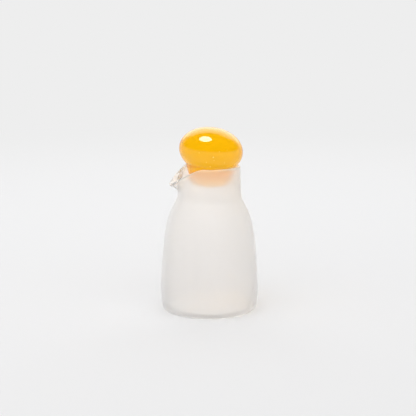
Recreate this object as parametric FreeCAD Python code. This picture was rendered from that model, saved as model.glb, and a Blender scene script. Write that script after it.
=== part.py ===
"""Blown glass carafe with a pulled pouring lip, and the solid glass stopper that rests in its mouth.

Frame: millimetres, +Z up, origin on the vessel's axis at the surface it stands on. The lip points to -X.
The vessel is one piece of glass. Its wall is lofted round the axis through radial sections of the wall,
so that the lip can be pulled out of the rim, and a domed floor on a ground ring closes it.
The stopper is one piece too: a flattened ball on a tapered plug, leaning away from the lip.
"""
import FreeCAD, Part
import math
import os

from FreeCAD import Vector

# ---- vessel: outline of the outer wall, as radii and heights -------------------------------------
foot_radius = 52.2         # where the foot's rounding meets the side
foot_rounding = 2.2        # how far inwards it reaches
contact_radius = foot_radius - foot_rounding
foot_height = 3.5
belly_bulge = 3.8          # how far the side leans out above the foot, over belly_reach
belly_reach = 14.5
shoulder_radius = 50.2     # where the side ends and the shoulder starts
shoulder_height = 76.0
shoulder_lean = 0.10       # inward slope of the wall there
shoulder_hold = 36.4       # how far up the side's own line pulls the shoulder's curve
neck_hold = 11.2           # how far down the neck's line does
rim_radius = 33.5          # outer radius at the rim
rim_height = 159.4
neck_flare = 1.3           # how much wider than the rim the neck is where the shoulder runs out into it
neck_radius = rim_radius + neck_flare
neck_length = 31.4         # from there up to the rim
neck_height = rim_height - neck_length

# ---- vessel: the glass itself --------------------------------------------------------------------
body_wall = 3.0
neck_wall = 4.5
lip_wall = 3.4             # the lip is pulled thinner than the rim

# ---- vessel: floor and base ----------------------------------------------------------------------
floor_edge = 5.0           # height of the inner floor at the wall
floor_crown = 2.0          # the floor and the base under it rise this much to the middle
floor_flat = 8.0           # radius of the level middle of both
inner_corner = 6.5         # height of the rounded corner between the inner wall and the floor
corner_lean = 0.8          # how far the inner wall leans out over that corner
base_recess = 1.5          # the base stands clear of the table inside the ground ring
land_height = 0.3          # the ground ring stands this far below the rounded glass
land_width = 3.0
land_margin = 0.6          # from the ring's outer edge to where the foot's rounding starts
root_inset = 1.0           # the lofted wall ends this far outside the ring's inner edge, inside the floor
root_depth = 0.4           # and this far below the floor's surface

# ---- pouring lip ---------------------------------------------------------------------------------
lip_half_span = 63.0       # degrees of the rim, to each side, that the lip draws down
lip_reach = 8.8            # overhang of the lip's end beyond the neck
lip_drop = 19.0            # how far the lip's end hangs below the rim
lip_roundness = 0.12       # how blunt the lip's end is, 0 for a sharp beak
drop_power = 1.6           # how late the rim dips towards the lip
reach_power = 3.4          # how late the rim leaves the circle
crease_depth = 2.7         # height of the lip's underside above its crease with the neck, at the end
crease_side = 2.3          # the same at the ends of the lip's span
crease_lift = 1.9          # how far the crease inside is above the one outside, at the lip's end
crease_softness = 0.30     # share of each run that the crease's curve takes up

# ---- stopper -------------------------------------------------------------------------------------
head_overhang = 1.3        # how much wider than the rim the head is
head_radius = rim_radius + head_overhang
head_half_height = 24.8
head_flat = 1.0            # radius of the level spots at the head's top and bottom
head_tilt = 8.2            # degrees, leaning away from the lip
plug_slack = 2.2           # how much narrower than the mouth the plug is, at the rim's level
plug_radius = rim_radius - neck_wall - plug_slack
plug_taper = 15.0          # degrees, each side
plug_depth = 21.0          # below the rim
plug_rounding = 7.0
plug_root = 4.0            # the plug starts this far below the head's centre, inside the head
plug_blend = 1.5           # radius of the glass drawn in where plug and head meet
back_clearance = 0.4       # between the plug and the mouth's back, where it leans
seat_clearance = 0.3       # between the head and the rim it rests on

# ---- fineness ------------------------------------------------------------------------------------
lip_steps = 9              # sections over each half of the lip
back_steps = 18            # sections over the rest of the circle
seat_steps = 1440          # points round the head's outline that are tried against the rim


def bezier(*points):
    curve = Part.BezierCurve()
    curve.setPoles([Vector(r, 0, z) for r, z in points])
    return curve.toShape()


def line(start, end):
    return Part.makeLine(Vector(start[0], 0, start[1]), Vector(end[0], 0, end[1]))


def arc(start, middle, end):
    return Part.Arc(*[Vector(r, 0, z) for r, z in (start, middle, end)]).toShape()


def between(start, end, share):
    return tuple(a + share * (b - a) for a, b in zip(start, end))


def spun(*edges):
    """A solid of revolution about Z from the edges of its closed half outline."""
    return Part.Face(Part.Wire(list(edges))).revolve(Vector(), Vector(0, 0, 1), 360)


def pull(degrees):
    """1 on the lip's centre line and 0 from the end of its span on: a tent with a rounded top."""
    share = min(1.0, abs(degrees) / lip_half_span)
    blunt = lip_roundness
    return 1.0 - (math.hypot(share, blunt) - blunt) / (math.hypot(1.0, blunt) - blunt)


def neck_line(height, inset):
    share = (height - neck_height) / (rim_height - neck_height)
    return (neck_radius + share * (rim_radius - neck_radius) - inset, height)


def wall_outline(side_inset, neck_inset):
    """Side and shoulder of the wall, upwards: the outer face, or the inner one inset from it."""
    side_start = (foot_radius - side_inset, foot_height)
    side_end = (shoulder_radius - side_inset, shoulder_height)
    neck_start = neck_line(neck_height, neck_inset)
    neck_lean = (neck_radius - rim_radius) / (rim_height - neck_height)
    third = (shoulder_height - foot_height) / 3
    low = (side_start[0] + belly_bulge, side_start[1] + belly_reach)
    high = (side_end[0] + shoulder_lean * third, side_end[1] - third)
    turn_in = (side_end[0] - shoulder_lean * shoulder_hold, side_end[1] + shoulder_hold)
    run_out = (neck_start[0] + neck_lean * neck_hold, neck_start[1] - neck_hold)
    return (side_start, low, high, side_end), (side_end, turn_in, run_out, neck_start)


def rim_section(degrees):
    """Ends and creases of the wall's top, pulled out and down where the lip is."""
    strength = pull(degrees)
    reach = strength ** reach_power
    overhang = lip_reach * reach
    depth = crease_side + (crease_depth - crease_side) * strength
    wall = neck_wall + (lip_wall - neck_wall) * reach
    slope = math.atan2(depth, overhang)
    along = (math.cos(slope), math.sin(slope))
    end_height = rim_height - neck_wall / 2 - lip_drop * strength ** drop_power
    crease = neck_line(end_height - depth, 0.0)
    inner_crease = neck_line(crease[1] + crease_lift * reach, neck_wall)
    outer_end = (crease[0] + overhang, end_height)
    inner_end = (outer_end[0] - wall * along[1], outer_end[1] + wall * along[0])
    middle = between(outer_end, inner_end, 0.5)
    crest = (middle[0] + wall / 2 * along[0], middle[1] + wall / 2 * along[1])
    return crease, outer_end, crest, inner_end, inner_crease


def wall_section(degrees):
    """The wall cut through the axis at an angle from the lip: one closed wire, turned into its place."""
    outer_side, outer_shoulder = wall_outline(0.0, 0.0)
    inner_side, inner_shoulder = wall_outline(body_wall, neck_wall)
    crease, outer_end, crest, inner_end, inner_crease = rim_section(degrees)
    foot_start = (contact_radius, land_height)
    foot_turn = (foot_radius - (foot_height - land_height) * belly_bulge / belly_reach, land_height)
    root = (contact_radius - land_margin - land_width + root_inset, land_height)
    root_top = (root[0], floor_edge - root_depth)
    corner_top = (inner_side[0][0] + corner_lean, floor_edge + inner_corner)
    corner_turn = (inner_side[0][0], root_top[1])
    inner_low = (inner_side[1][0], corner_top[1] + belly_reach)
    wire = Part.Wire([
        line(root, foot_start),
        bezier(foot_start, foot_turn, outer_side[0]),
        bezier(*outer_side),
        bezier(*outer_shoulder),
        bezier(outer_shoulder[-1], between(crease, outer_shoulder[-1], crease_softness),
               between(crease, outer_end, crease_softness), outer_end),
        arc(outer_end, crest, inner_end),
        bezier(inner_end, between(inner_crease, inner_end, crease_softness),
               between(inner_crease, inner_shoulder[-1], crease_softness), inner_shoulder[-1]),
        bezier(*reversed(inner_shoulder)),
        bezier(inner_side[3], inner_side[2], inner_low, corner_top),
        bezier(corner_top, corner_turn, root_top),
        line(root_top, root),
    ])
    wire.rotate(Vector(), Vector(0, 0, 1), 180.0 + degrees)
    return wire


def section_angles():
    step = lip_half_span / lip_steps
    lip = [step * i for i in range(-lip_steps, lip_steps + 1)]
    rest = 360.0 - 2 * lip_half_span
    back = [lip_half_span + rest * i / back_steps for i in range(1, back_steps)]
    return lip + back


def make_floor():
    """Domed floor over a domed hollow, with the ground ring that the carafe stands on."""
    outer = contact_radius - land_margin
    inner = outer - land_width
    base_top = base_recess + floor_crown
    floor_top = floor_edge + floor_crown
    return spun(
        line((0, base_top), (floor_flat, base_top)),
        bezier((floor_flat, base_top), (inner / 2, base_top), (inner, base_recess)),
        line((inner, base_recess), (inner, 0)),
        line((inner, 0), (outer, 0)),
        line((outer, 0), (outer, floor_edge)),
        bezier((outer, floor_edge), (outer / 2, floor_top), (floor_flat, floor_top)),
        line((floor_flat, floor_top), (0, floor_top)),
        line((0, floor_top), (0, base_top)),
    )


def make_vessel():
    wall = Part.makeLoft([wall_section(angle) for angle in section_angles()], True, False, True)
    return wall.fuse(make_floor()).Solids[0]


def stopper_shift():
    """How far the stopper is off the axis, away from the lip, with its plug against the mouth's back."""
    return rim_radius - neck_wall - back_clearance - plug_radius


def head_height():
    """Height of the head's centre when its underside rests on the back of the rounded rim."""
    tilt = math.radians(head_tilt)
    crest_radius = rim_radius - neck_wall / 2
    crest_height = rim_height - neck_wall / 2
    reach = neck_wall / 2 + seat_clearance
    heights = []
    for step in range(seat_steps):
        turn = 2 * math.pi * step / seat_steps
        flat, up = head_radius * math.cos(turn), head_half_height * math.sin(turn)
        x = flat * math.cos(tilt) + up * math.sin(tilt)
        z = -flat * math.sin(tilt) + up * math.cos(tilt)
        gap = crest_radius - stopper_shift() - x
        if abs(gap) < reach:
            heights.append(crest_height + math.sqrt(reach ** 2 - gap ** 2) - z)
    return max(heights)


def make_head():
    """The flattened ball, spun upright from two quarter ellipses and then tilted."""
    round_share = 4 * (math.sqrt(2) - 1) / 3   # of a quarter ellipse's side, for its Bezier handles
    wide, high, spot = head_radius, head_half_height, head_flat
    handle_out = spot + round_share * (wide - spot)
    handle_up = round_share * high
    head = spun(
        line((0, -high), (spot, -high)),
        bezier((spot, -high), (handle_out, -high), (wide, -handle_up), (wide, 0)),
        bezier((wide, 0), (wide, handle_up), (handle_out, high), (spot, high)),
        line((spot, high), (0, high)),
        line((0, high), (0, -high)),
    )
    head.rotate(Vector(), Vector(0, 1, 0), head_tilt)
    head.translate(Vector(stopper_shift(), 0, head_height()))
    return head


def make_plug():
    """The tapered plug below the head, upright, with a rounded end."""
    slope = math.tan(math.radians(plug_taper))
    top = head_height() - plug_root
    bottom = rim_height - plug_depth
    turn = bottom + plug_rounding
    corner = (plug_radius - slope * plug_depth, bottom)
    end = (corner[0] - plug_rounding, bottom)
    side = (plug_radius - slope * (rim_height - turn), turn)
    root = (plug_radius + slope * (top - rim_height), top)
    plug = spun(
        line((0, bottom), end),
        bezier(end, corner, side),
        line(side, root),
        line(root, (0, top)),
        line((0, top), (0, bottom)),
    )
    plug.translate(Vector(stopper_shift(), 0, 0))
    return plug


def make_stopper():
    joined = make_head().fuse(make_plug()).Solids[0]
    side = next(face for face in joined.Faces if isinstance(face.Surface, Part.Cone))
    seam = max((edge for edge in side.Edges if edge.isClosed()), key=lambda edge: edge.CenterOfMass.z)
    return joined.makeFillet(plug_blend, [seam]).Solids[0]


os.makedirs("parts", exist_ok=True)
for name, shape in (("vessel", make_vessel()), ("stopper", make_stopper())):
    shape.exportStep(f"parts/{name}.step")
    print(name, shape.ShapeType, shape.isValid(), f"{shape.Volume / 1000:.1f} cm3", len(shape.Faces), "faces")
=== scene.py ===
# %% [markdown]
# # Blown glass carafe with an amber stopper
# The carafe is one thin blown piece: a low round body, a wide neck and a pouring lip that was pulled out of the
# hot rim. Its outside is etched to a fine satin, so it looks like pale mist. The stopper is a solid, polished
# ball of amber glass on a tapered plug. Both forms are already made, to size, in the frame that is loaded here,
# so this lesson is about glass: how it is lit, how satin and polished glass are set up, and how the small
# bubbles that glassmakers call seeds are put in the skin of the ball.

# %% The frame, and how large it is
import math

import bpy
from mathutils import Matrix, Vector


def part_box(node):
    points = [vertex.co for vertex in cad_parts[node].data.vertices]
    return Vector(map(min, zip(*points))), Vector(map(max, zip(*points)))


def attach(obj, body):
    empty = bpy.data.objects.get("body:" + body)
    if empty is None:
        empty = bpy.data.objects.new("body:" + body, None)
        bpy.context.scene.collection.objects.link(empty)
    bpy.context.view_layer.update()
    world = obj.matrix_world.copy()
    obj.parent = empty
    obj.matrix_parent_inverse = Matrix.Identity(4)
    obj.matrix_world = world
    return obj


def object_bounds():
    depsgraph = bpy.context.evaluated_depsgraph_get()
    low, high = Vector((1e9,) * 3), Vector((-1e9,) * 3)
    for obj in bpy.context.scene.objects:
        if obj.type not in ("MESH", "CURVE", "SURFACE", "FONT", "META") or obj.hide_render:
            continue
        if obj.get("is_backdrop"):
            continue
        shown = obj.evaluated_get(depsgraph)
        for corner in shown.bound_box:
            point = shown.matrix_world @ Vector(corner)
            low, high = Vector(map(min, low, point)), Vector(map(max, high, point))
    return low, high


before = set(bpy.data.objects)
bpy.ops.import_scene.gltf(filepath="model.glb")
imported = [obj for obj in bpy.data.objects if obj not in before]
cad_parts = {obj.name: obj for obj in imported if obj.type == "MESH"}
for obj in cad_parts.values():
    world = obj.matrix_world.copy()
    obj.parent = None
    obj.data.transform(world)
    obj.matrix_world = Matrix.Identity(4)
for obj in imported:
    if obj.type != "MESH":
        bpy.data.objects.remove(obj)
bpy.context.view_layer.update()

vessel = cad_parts["vessel"]
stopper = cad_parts["stopper"]
stopper_low, stopper_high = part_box("stopper")

# %% [markdown]
# Glass shows nothing but what is around it, so the room comes first. Glass is best shown on a seamless sheet: a
# floor that turns up into a wall with no corner. Here the sheet is round, like a shallow dish, so that it is
# behind the carafe from every side. It could be a plane with one curved edge, but that ends in a line when the
# camera goes round it. It is made from a disc whose rim is extruded outwards and up in small steps.

# %% Helpers for modelling: a clean start, one piece alone, and a name for the new piece
def fresh_start():
    """Nothing selected: an operator acts on all that is selected, and the loaded pieces come selected."""
    if bpy.context.object and bpy.context.object.mode != "OBJECT":
        bpy.ops.object.mode_set(mode="OBJECT")
    bpy.ops.object.select_all(action="DESELECT")


def only(piece):
    fresh_start()
    piece.select_set(True)
    bpy.context.view_layer.objects.active = piece


def named(name):
    piece = bpy.context.object
    piece.name = piece.data.name = name
    return piece


# %% The round sheet
SHEET_RADIUS = 3.2
SHEET_CORNERS = 96
COVE_RADIUS = 0.9                    # of the bend that joins floor and wall
COVE_STEPS = 10
COVE_TURN = math.radians(80)
STRIDE = COVE_RADIUS * COVE_TURN / COVE_STEPS

fresh_start()
bpy.ops.mesh.primitive_circle_add(vertices=SHEET_CORNERS, radius=SHEET_RADIUS, fill_type="TRIFAN")
sheet = named("floor")
bpy.ops.object.mode_set(mode="EDIT")
bpy.ops.mesh.select_mode(type="EDGE")
bpy.ops.mesh.select_all(action="DESELECT")
bpy.ops.mesh.select_non_manifold()
radius = SHEET_RADIUS
for step in range(COVE_STEPS):
    turn = COVE_TURN * (step + 0.5) / COVE_STEPS
    wider = radius + STRIDE * math.cos(turn)
    bpy.ops.mesh.extrude_region_move(TRANSFORM_OT_translate={"value": (0, 0, STRIDE * math.sin(turn))})
    bpy.ops.transform.resize(value=(wider / radius, wider / radius, 1), center_override=(0, 0, 0))
    radius = wider
bpy.ops.mesh.select_all(action="SELECT")
bpy.ops.mesh.normals_make_consistent(inside=True)
bpy.ops.object.mode_set(mode="OBJECT")
bpy.ops.object.shade_smooth()
sheet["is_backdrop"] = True
print("sheet: radius", round(radius, 2), "m, rim", round(max(v.co.z for v in sheet.data.vertices), 2), "m high")

# %% [markdown]
# A finish is a small network of nodes. Written out link by link it is hard to read, so one short class wraps a
# socket: sums and products of wrapped sockets add their own Math nodes. A second class is the network, and any
# other node comes from its one call, node().

# %% A shorthand for shader nodes: a socket
class Value:
    def __init__(self, finish, socket):
        self.finish, self.socket = finish, socket

    def _math(self, operation, *terms):
        return self.finish.node("Math", {"operation": operation}, dict(enumerate(terms)))[0]

    def __add__(self, other):
        return self._math("ADD", self, other)

    def __radd__(self, other):
        return self._math("ADD", other, self)

    def __sub__(self, other):
        return self._math("SUBTRACT", self, other)

    def __rsub__(self, other):
        return self._math("SUBTRACT", other, self)

    def __mul__(self, other):
        return self._math("MULTIPLY", self, other)

    def __rmul__(self, other):
        return self._math("MULTIPLY", other, self)

    def clamp(self):
        return self.finish.node("Clamp", {}, {"Value": self})[0]

    def ramp(self, start, end):
        """0 below start, 1 above end, eased between."""
        settings = {"interpolation_type": "SMOOTHSTEP"}
        return self.finish.node("MapRange", settings, {"Value": self, 1: start, 2: end, 3: 0.0, 4: 1.0})[0]


# %% A shorthand for shader nodes: the network
class Finish:
    """A material, or the world, as a network that is built call by call."""

    def __init__(self, owner):
        owner.use_nodes = True
        self.owner, self.tree = owner, owner.node_tree
        self.tree.nodes.clear()

    def node(self, kind, settings, inputs):
        """Any node: its type, its settings, and a number, a colour or a Value for each input."""
        made = self.tree.nodes.new("ShaderNode" + kind)
        for key, value in settings.items():
            setattr(made, key, value)
        for key, value in inputs.items():
            socket = made.inputs[key]
            if isinstance(value, Value):
                self.tree.links.new(value.socket, socket)
            else:
                socket.default_value = value
        return [Value(self, out) for out in made.outputs]

    def here(self):
        """Where a point is on the piece, in metres."""
        return self.node("TexCoord", {}, {})[3]

    def xyz(self, vector):
        return self.node("SeparateXYZ", {}, {"Vector": vector})

    def noise(self, vector, scale, detail=2.0):
        settings = {"noise_dimensions": "3D"}
        return self.node("TexNoise", settings, {"Vector": vector, "Scale": scale, "Detail": detail})[0]

    def blend(self, mask, low, high):
        """One colour where the mask is 0, the other where it is 1."""
        return self.node("Mix", {"data_type": "RGBA"}, {0: mask, 6: low, 7: high})[2]

    def rays(self):
        """1 for its own kind of ray: the camera's, a shadow's, a mirrored one, one through glass."""
        kinds = self.node("LightPath", {}, {})
        return kinds[0], kinds[1], kinds[3], kinds[6]

    def lets_lamps_through(self, glass, colour):
        """The glass, but for a shadow ray only a tint, so that the lamps shine straight through it."""
        _, shadow, _, _ = self.rays()
        tint = self.node("BsdfTransparent", {}, {"Color": colour})[0]
        return self.node("MixShader", {}, {0: shadow, 1: glass, 2: tint})[0]

    def done(self, surface):
        self.node("OutputMaterial", {}, {"Surface": surface})


def finish_for(name):
    return Finish(bpy.data.materials.new(name))


def dress(piece, finish):
    """The finish on every slot of a piece; a new piece has none yet and gets one."""
    if not piece.material_slots:
        piece.data.materials.append(None)
    for slot in piece.material_slots:
        slot.material = finish.owner


# %% [markdown]
# The sheet is matt paper. Lamps never light a large sheet evenly, so in a studio it is lit apart or evened out
# afterwards. Here the far part is evened by the material: near the carafe the paper is lit by the lamps and
# takes its shadow, and further off it passes into an even pale white. What glass lets through is evened nearer
# in and a little whiter, because glass in front of a grey floor would itself look grey.

# %% The sheet's paper white
PAPER = (0.76, 0.76, 0.765, 1)
WHITE = (1.0, 1.0, 1.0, 1)
PAPER_SEEN = 0.855                   # the even white as the camera sees it
THROUGH = 1.0                        # and as glass lets it through
PASSING = (0.45, 1.5)                # metres from the carafe between which matt passes into even
PASSING_THROUGH = (0.10, 0.60)       # the same behind glass

paper = finish_for("paper_white")
distance = paper.node("VectorMath", {"operation": "LENGTH"}, {0: paper.here()})[1]
camera_ray, _, mirror_ray, through_ray = paper.rays()
dull = {"Base Color": PAPER, "Roughness": 0.85, "Specular IOR Level": 0.2}
matt = paper.node("BsdfPrincipled", {}, dull)[0]
level = PAPER_SEEN + (THROUGH - PAPER_SEEN) * through_ray
even = paper.node("Emission", {}, {"Color": WHITE, "Strength": level})[0]
seen = (camera_ray + mirror_ray).clamp() * distance.ramp(*PASSING)
share = seen + through_ray * distance.ramp(*PASSING_THROUGH)
paper.done(paper.node("MixShader", {}, {0: share, 1: matt, 2: even})[0])
dress(sheet, paper)
print("paper: matt up to", PASSING[0], "m from the carafe, even white from", PASSING[1], "m")

# %% [markdown]
# The light is a pale room with soft lamps. The room could be one flat white, but polished glass would mirror it
# all over and lose its colour. So what matt things are lit by, what is seen past the sheet and what polished
# glass mirrors are set apart by Light Path: the glass mirrors a dark room in front and a bright one behind.

# %% The room
ROOM_SEEN = PAPER_SEEN               # past the sheet the camera sees the same white, so the sheet has no edge
MIRRORED_FRONT = 0.08                # what shiny things mirror from the side of the room where the camera is
MIRRORED_BACK = 1.0                  # and from the far side
MIRRORED_PASSING = (0.4, 0.85)       # how far to the back the one passes into the other
ROOM_FILL = 0.68                     # what lights matt things from all sides
FRONT_FILL = 0.62                    # and what the front adds to it
FRONT_PASSING = (-0.1, 0.6)
AWAY_X, AWAY_Y = 0.26, 0.97          # the way from the camera to the back of the room

world = bpy.data.worlds.new("room")
bpy.context.scene.world = world
room = Finish(world)
camera_ray, _, mirror_ray, through_ray = room.rays()
x, y, _ = room.xyz(room.node("TexCoord", {}, {})[0])
away = x * AWAY_X + y * AWAY_Y       # 1 straight behind the carafe, -1 straight in front of it
mirrored = MIRRORED_FRONT + (MIRRORED_BACK - MIRRORED_FRONT) * away.ramp(*MIRRORED_PASSING)
fill = ROOM_FILL + FRONT_FILL * (0 - away).ramp(*FRONT_PASSING)
seen = (camera_ray + through_ray).clamp()
not_seen = mirror_ray * mirrored + (1 - mirror_ray) * fill
level = camera_ray * ROOM_SEEN + through_ray * THROUGH + (1 - seen) * not_seen
background = room.node("Background", {}, {"Color": WHITE, "Strength": level})[0]
room.node("OutputWorld", {}, {"Surface": background})
print("room: seen as", ROOM_SEEN, "and lighting with", ROOM_FILL, "to", round(ROOM_FILL + FRONT_FILL, 2))

# %% [markdown]
# One big round lamp hangs above, a little to the left. Polished glass mirrors it as a bright oval. A wide lamp
# behind and above shows as a pale crescent along the top of the ball, which is what makes the ball read as
# glass. The oval needs more light than the paper can take, so a twin of the lamp above is seen by reflections
# alone. The lamp behind is hidden from what glass lets through, or it would show as a patch inside the ball.

# %% The lamps
def soft_lamp(name, shape, place, target, size, radiance):
    """A flat lamp of a given radiance, where 1 is paper white."""
    lamp = bpy.data.lights.new(name, "AREA")
    lamp.shape, (lamp.size, lamp.size_y) = shape, size
    area = size[0] * size[1] * (math.pi / 4 if shape == "ELLIPSE" else 1)
    lamp.energy = radiance * math.pi * area
    holder = bpy.data.objects.new(name, lamp)
    bpy.context.scene.collection.objects.link(holder)
    holder.location = place
    holder.rotation_euler = (Vector(target) - Vector(place)).to_track_quat("-Z", "Y").to_euler()
    print(name, "energy", round(lamp.energy, 1), "W")
    return holder


ABOVE, TWIN, UNDER = (-0.30, -0.08, 1.6), (-0.30, -0.08, 1.59), (-0.30, -0.08, 0)
ROUND = (0.85, 0.85)
BEHIND, BALL_HEIGHT = (0.60, 1.9, 1.55), (0.0, 0.0, 0.19)
WIDE = (3.4, 2.2)

soft_lamp("lamp_above", "ELLIPSE", ABOVE, UNDER, ROUND, radiance=2.0)
sheen = soft_lamp("lamp_sheen", "ELLIPSE", TWIN, UNDER, ROUND, radiance=11.0)
sheen.visible_diffuse = sheen.visible_transmission = False
behind = soft_lamp("lamp_behind", "RECTANGLE", BEHIND, BALL_HEIGHT, WIDE, radiance=0.9)
behind.visible_transmission = False

# %% [markdown]
# The camera looks a little down on the carafe from the front, with the lip to the left and turned slightly
# forwards. A long lens from well over a metre keeps the sides nearly upright. Glass inside glass needs many
# bounces, or the inner walls come out dark.

# %% The camera
VIEW_TURN = math.radians(-15.0)
VIEW_RISE = math.radians(12.78)
VIEW_DISTANCE = 1.21
AIM = Vector((0, 0, 0.09))
LENS, SENSOR = 95.2, 36.0            # mm
SHIFT = (-0.0034, 0.0469)            # places the carafe in the frame
GLASS_BOUNCES, MATT_BOUNCES = 32, 6

camera_data = bpy.data.cameras.new("camera")
camera_data.lens, camera_data.sensor_width = LENS, SENSOR
camera_data.shift_x, camera_data.shift_y = SHIFT
camera = bpy.data.objects.new("camera", camera_data)
bpy.context.scene.collection.objects.link(camera)
back = Vector((math.sin(VIEW_TURN) * math.cos(VIEW_RISE), -math.cos(VIEW_TURN) * math.cos(VIEW_RISE),
               math.sin(VIEW_RISE)))
camera.location = AIM + VIEW_DISTANCE * back
camera.rotation_euler = (-back).to_track_quat("-Z", "Y").to_euler()
bpy.context.scene.camera = camera
bpy.context.scene.view_settings.view_transform = "Standard"
bpy.context.scene.cycles.max_bounces = GLASS_BOUNCES
bpy.context.scene.cycles.transmission_bounces = GLASS_BOUNCES
bpy.context.scene.cycles.diffuse_bounces = MATT_BOUNCES
print("camera at", [round(c, 3) for c in camera.location])

# %% [markdown]
# Satin glass is clear glass whose outer skin is etched to a very fine roughness. It could be faked with a half
# transparent white, but then nothing behind it would blur. The glass shader with roughness does what the real
# skin does: what touches the wall inside shows softly, and what is further away melts into a glow.
#
# Only the outer skin is etched; the inside stays as smooth as it was blown. The two skins are told apart by the
# way they face: the outer one faces away from the axis and the inner one towards it. Blender turns a normal
# towards whoever looks at it, and Backfacing turns it back again. The tip of the lip is fire polished, so it is
# clear. Sheen stands for the fine scatter of the etched grains. The lamps shine through the wall to the floor,
# or so thin a glass would throw a black shadow.

# %% The satin glass of the vessel: where it is etched
OUTER_SKIN = (0.02, 0.25)            # how far outwards a skin has to face to count as the outer one
LIP_REACH = (0.0365, 0.040)          # metres from the axis, and the height, from which the lip is polished
LIP_HEIGHT = (0.128, 0.134)

satin = finish_for("satin_glass")
here = satin.here()
x, y, z = satin.xyz(here)
geometry = satin.node("NewGeometry", {}, {})
true_normal, backfacing = geometry[3], geometry[6]
skin_way = satin.node("VectorMath", {"operation": "SCALE"}, {0: true_normal, 3: 1 - 2 * backfacing})[0]
around = satin.node("CombineXYZ", {}, {0: x, 1: y, 2: 0.0})[0]
around = satin.node("VectorMath", {"operation": "NORMALIZE"}, {0: around})[0]
outwards = satin.node("VectorMath", {"operation": "DOT_PRODUCT"}, {0: skin_way, 1: around})[1]
lip_tip = (0 - x).ramp(*LIP_REACH) * z.ramp(*LIP_HEIGHT)
etched = outwards.ramp(*OUTER_SKIN) * (1 - lip_tip)

# %% The satin glass of the vessel: roughness, ripple, tint and painted shade on its floor
ROUGH_IN = 0.02                      # the blown inside
ROUGH_FOOT, ROUGH_OUT = 0.27, 0.38   # the etched outside, at the foot and above it
FOOT_PASSING = (0.01, 0.07)          # heights between which the one passes into the other
FLOOR_TOP = (0.0065, 0.010)          # heights between which the carafe's own floor ends
WALL_TINT = (0.940, 0.926, 0.914, 1)
FLOOR_TINT_AND_SHADE = (0.90, 0.89, 0.88, 1)   # darker, partly because the floor glass is thicker and partly as painted shade under the carafe
THROUGH_WALL = (0.86, 0.86, 0.86, 1)  # lamp light that has passed through a wall
RIPPLE_SCALE, RIPPLE_HEIGHT = 22.0, 0.6     # slow waves in the wall, and how much they lift the skin
GRAIN_SCALE, GRAIN_HEIGHT = 2600.0, 0.004   # the grain of the etching, far finer
UNEVEN = 0.05                        # how much the roughness changes with the waves

waver = satin.noise(here, RIPPLE_SCALE, detail=3.0)
grain = satin.noise(here, GRAIN_SCALE, detail=1.0)
rough_skin = ROUGH_FOOT + (ROUGH_OUT - ROUGH_FOOT) * z.ramp(*FOOT_PASSING) + UNEVEN * waver
roughness = ROUGH_IN + (rough_skin - ROUGH_IN) * etched
skin = waver * RIPPLE_HEIGHT + grain * GRAIN_HEIGHT
bump = satin.node("Bump", {}, {"Height": skin, "Strength": 0.25, "Distance": 0.001})[0]
# painted shade: the inside of the carafe's floor gets a darker tint, partly for its thicker glass
shaded_floor_glass = (1 - z.ramp(*FLOOR_TOP)) * (1 - etched)
glass = satin.node("BsdfPrincipled", {}, {
    "Base Color": satin.blend(shaded_floor_glass, WALL_TINT, FLOOR_TINT_AND_SHADE), "Roughness": roughness, "IOR": 1.5,
    "Transmission Weight": 0.85, "Sheen Weight": 0.7, "Sheen Roughness": 0.4, "Normal": bump})[0]
satin.done(satin.lets_lamps_through(glass, THROUGH_WALL))
dress(vessel, satin)
print("satin glass: roughness", ROUGH_IN, "inside,", ROUGH_FOOT, "to", ROUGH_OUT, "outside")

# %% [markdown]
# Amber glass is coloured through and through, so it is deepest where it is thickest. It could be a volume that
# absorbs blue, but a solid ball bends light so strongly that the colour then comes out patchy. A coloured skin
# gives the even orange that a ball on a white table shows. The plug is paler: partly for its thinner glass, and
# partly as painted light, for the plug lit from all sides through the satin. A deeper orange where the ball
# meets the mouth is painted shade. The colour passes from the pale plug, through this painted shade, to the
# ball's own.

# %% The amber glass of the stopper
# The plug's pale colour is partly its thinner glass and partly painted light, from the satin lit all round it.
PLUG_TINT_AND_LIGHT = (0.97, 0.80, 0.46, 1)
JOINT_SHADE_COLOUR = (1.0, 0.45, 0.0, 1)    # painted shade where the ball meets the mouth
BALL_COLOUR = (1.0, 0.57, 0.0, 1)
PLUG_TO_JOINT_SHADE = (0.138, 0.156)        # heights between which each colour passes into the next
JOINT_SHADE_TO_BALL = (0.150, 0.158)
THROUGH_BALL = (0.95, 0.78, 0.50, 1)  # lamp light that has passed through the ball
CORD_SCALE = 35.0                    # cords are faint streaks in the melt

amber = finish_for("amber_glass")
here = amber.here()
_, _, z = amber.xyz(here)
cords = amber.noise(here, CORD_SCALE)
bump = amber.node("Bump", {}, {"Height": cords, "Strength": 0.05, "Distance": 0.001})[0]
# painted shade where the ball meets the mouth, passing into the ball's own colour
ball = amber.blend(z.ramp(*JOINT_SHADE_TO_BALL), JOINT_SHADE_COLOUR, BALL_COLOUR)
# the plug's pale colour, partly painted light, passes into the painted shade and the ball above it
glass = amber.node("BsdfPrincipled", {}, {
    "Base Color": amber.blend(z.ramp(*PLUG_TO_JOINT_SHADE), PLUG_TINT_AND_LIGHT, ball), "Roughness": 0.02, "IOR": 1.52,
    "Transmission Weight": 0.65, "Normal": bump})[0]
amber.done(amber.lets_lamps_through(glass, THROUGH_BALL))
dress(stopper, amber)
print("amber glass: from the plug's end to the ball's top, mm:",
      [round(1000 * height, 1) for height in (stopper_low.z, stopper_high.z)])

# %% [markdown]
# Seeds are bubbles of gas left in the melt. Those that reach the skin of the ball show as small pale beads.
# They are a little longer than wide, because the glass was drawn out while it was soft. They could be painted on
# as specks, but a bead has its own bright and dark side. One is modelled, from a small ball that is made longer
# and narrowed at its top, and the others are copies in several sizes. Each is set in the skin where a straight
# line from the front meets the ball.

# %% One seed, an egg-shaped bubble of radius 1
LONGER = (0.8, 0.8, 1.25)
TIP_FROM = 0.4                       # the height above which it narrows
NARROWER = (0.8, 0.8, 1.1)


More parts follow.
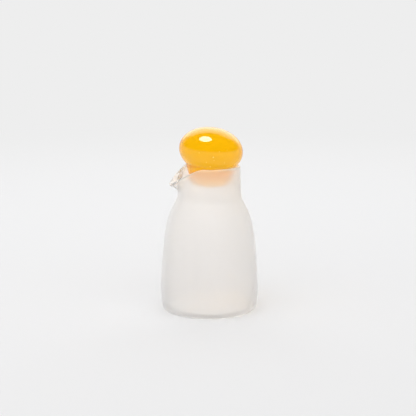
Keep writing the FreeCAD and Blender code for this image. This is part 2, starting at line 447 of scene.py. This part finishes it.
def grow_seed():
    fresh_start()
    bpy.ops.mesh.primitive_ico_sphere_add(subdivisions=3, radius=1.0)
    seed = named("seed")
    bpy.ops.object.mode_set(mode="EDIT")
    bpy.ops.mesh.select_all(action="SELECT")
    bpy.ops.transform.resize(value=LONGER, center_override=(0, 0, 0))
    bpy.ops.mesh.select_all(action="DESELECT")
    bpy.ops.object.mode_set(mode="OBJECT")
    for vertex in seed.data.vertices:
        vertex.select = vertex.co.z > TIP_FROM
    bpy.ops.object.mode_set(mode="EDIT")
    bpy.ops.transform.resize(value=NARROWER, center_override=(0, 0, TIP_FROM))
    bpy.ops.object.mode_set(mode="OBJECT")
    bpy.ops.object.shade_smooth()
    return seed


# %% The seeds, in the skin on the front of the ball
SEEDS = (          # mm across and up from the ball's middle, and radius, as they lie to one who faces the ball
    (2.3, -2.7, 0.55), (8.6, 2.8, 0.35), (-4.8, -8.4, 0.35), (3.3, -6.2, 0.30), (-1.0, -13.6, 0.35),
    (-12.5, 1.5, 0.25), (14.0, -9.5, 0.25), (17.0, 4.0, 0.22))
HALF_BALL = 0.0248                   # metres from the ball's middle up to its top
LINE_START = 0.1                     # metres in front of the middle, outside the ball
SINK = 0.5                           # how far under the skin a seed's middle lies, of its radius
LEAN = 0.12                          # radians that a seed leans outwards for each 10 mm across

side = Vector((math.cos(VIEW_TURN), math.sin(VIEW_TURN), 0))
front = Vector((math.sin(VIEW_TURN), -math.cos(VIEW_TURN), 0))
middle = (stopper_low + stopper_high) / 2
middle.z = stopper_high.z - HALF_BALL
into = stopper.matrix_world.inverted()
seed = grow_seed()
seeds = []
for across, up, size in SEEDS:
    start = middle + side * across / 1000 + Vector((0, 0, up / 1000)) + front * LINE_START
    place = stopper.ray_cast(into @ start, into.to_3x3() @ (-front))[1]
    only(seed)
    bpy.ops.object.duplicate(linked=False)
    copy = bpy.context.object
    copy.scale = (size / 1000,) * 3
    copy.rotation_euler = (0, LEAN * across / 10, 0)
    copy.location = stopper.matrix_world @ place - front * SINK * size / 1000
    seeds.append(copy)
bpy.data.objects.remove(seed)
fresh_start()
for copy in seeds:
    copy.select_set(True)
bpy.context.view_layer.objects.active = seeds[0]
bpy.ops.object.join()
seeds = named("seeds")
bpy.ops.object.transform_apply(location=True, rotation=True, scale=True)
print("seeds:", len(SEEDS), "in", len(seeds.data.polygons), "faces")

# %% [markdown]
# Gas in glass throws back nearly all the light that meets it, so a seed looks pale and glossy, not clear. A
# plain pale amber gloss does the same at this size.

# %% The finish of the seeds
PALE_AMBER = (1.0, 0.86, 0.42, 1)
CLOUD_SCALE = 900.0                  # small enough that no two seeds are equally glossy

bright = finish_for("seed_glass")
cloud = bright.noise(bright.here(), CLOUD_SCALE)
gloss = {"Base Color": PALE_AMBER, "Roughness": 0.1 + 0.2 * cloud}
bright.done(bright.node("BsdfPrincipled", {}, gloss)[0])
dress(seeds, bright)
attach(seeds, "root")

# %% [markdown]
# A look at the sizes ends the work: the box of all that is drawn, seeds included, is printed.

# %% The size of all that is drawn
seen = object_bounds()
print("visual box, mm:", [round(1000 * (high - low), 1) for low, high in zip(*seen)])
